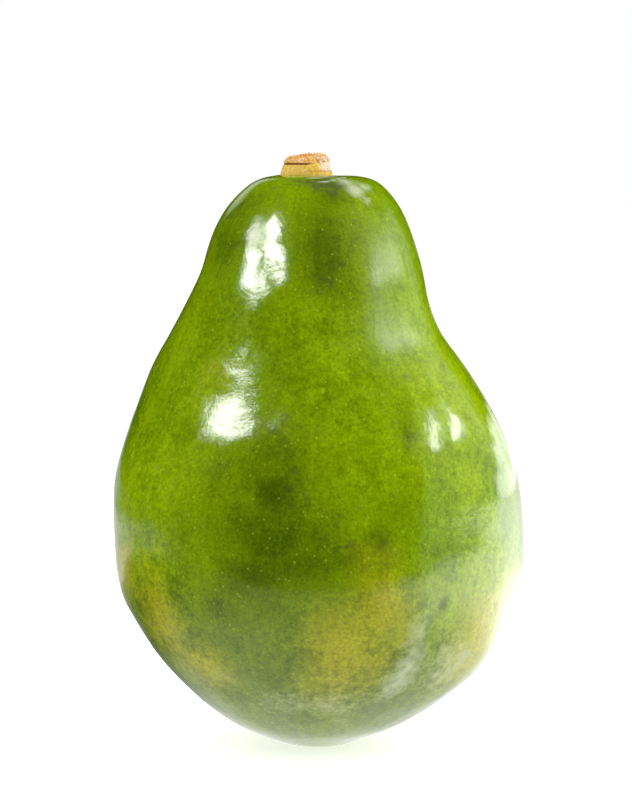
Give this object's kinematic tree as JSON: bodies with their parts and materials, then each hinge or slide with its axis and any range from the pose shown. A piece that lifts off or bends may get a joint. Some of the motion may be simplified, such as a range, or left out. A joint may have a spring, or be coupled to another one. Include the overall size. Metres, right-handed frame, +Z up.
{
  "type": "papaya",
  "caption": "Whole unripe papaya, pear-shaped with a short neck and five soft lobes, standing on its blossom end, with a torn stub of stalk.",
  "frame": {"origin": "middle of the flat spot on the blossom end, which the fruit rests on", "axes": "+Z up from the rest towards the stalk, -Y towards the side that the picture shows, +X to the right in the picture"},
  "size_m": [0.1246, 0.1251, 0.1801],
  "materials": {
    "skin": "waxy green fruit skin with yellow patches near the blossom end, glossy",
    "stalk": "dry ochre stalk with a torn fibrous end, matt"
  },
  "bodies": {
    "root": {"fruit": "skin", "stalk": "stalk"}
  },
  "joints": []
}
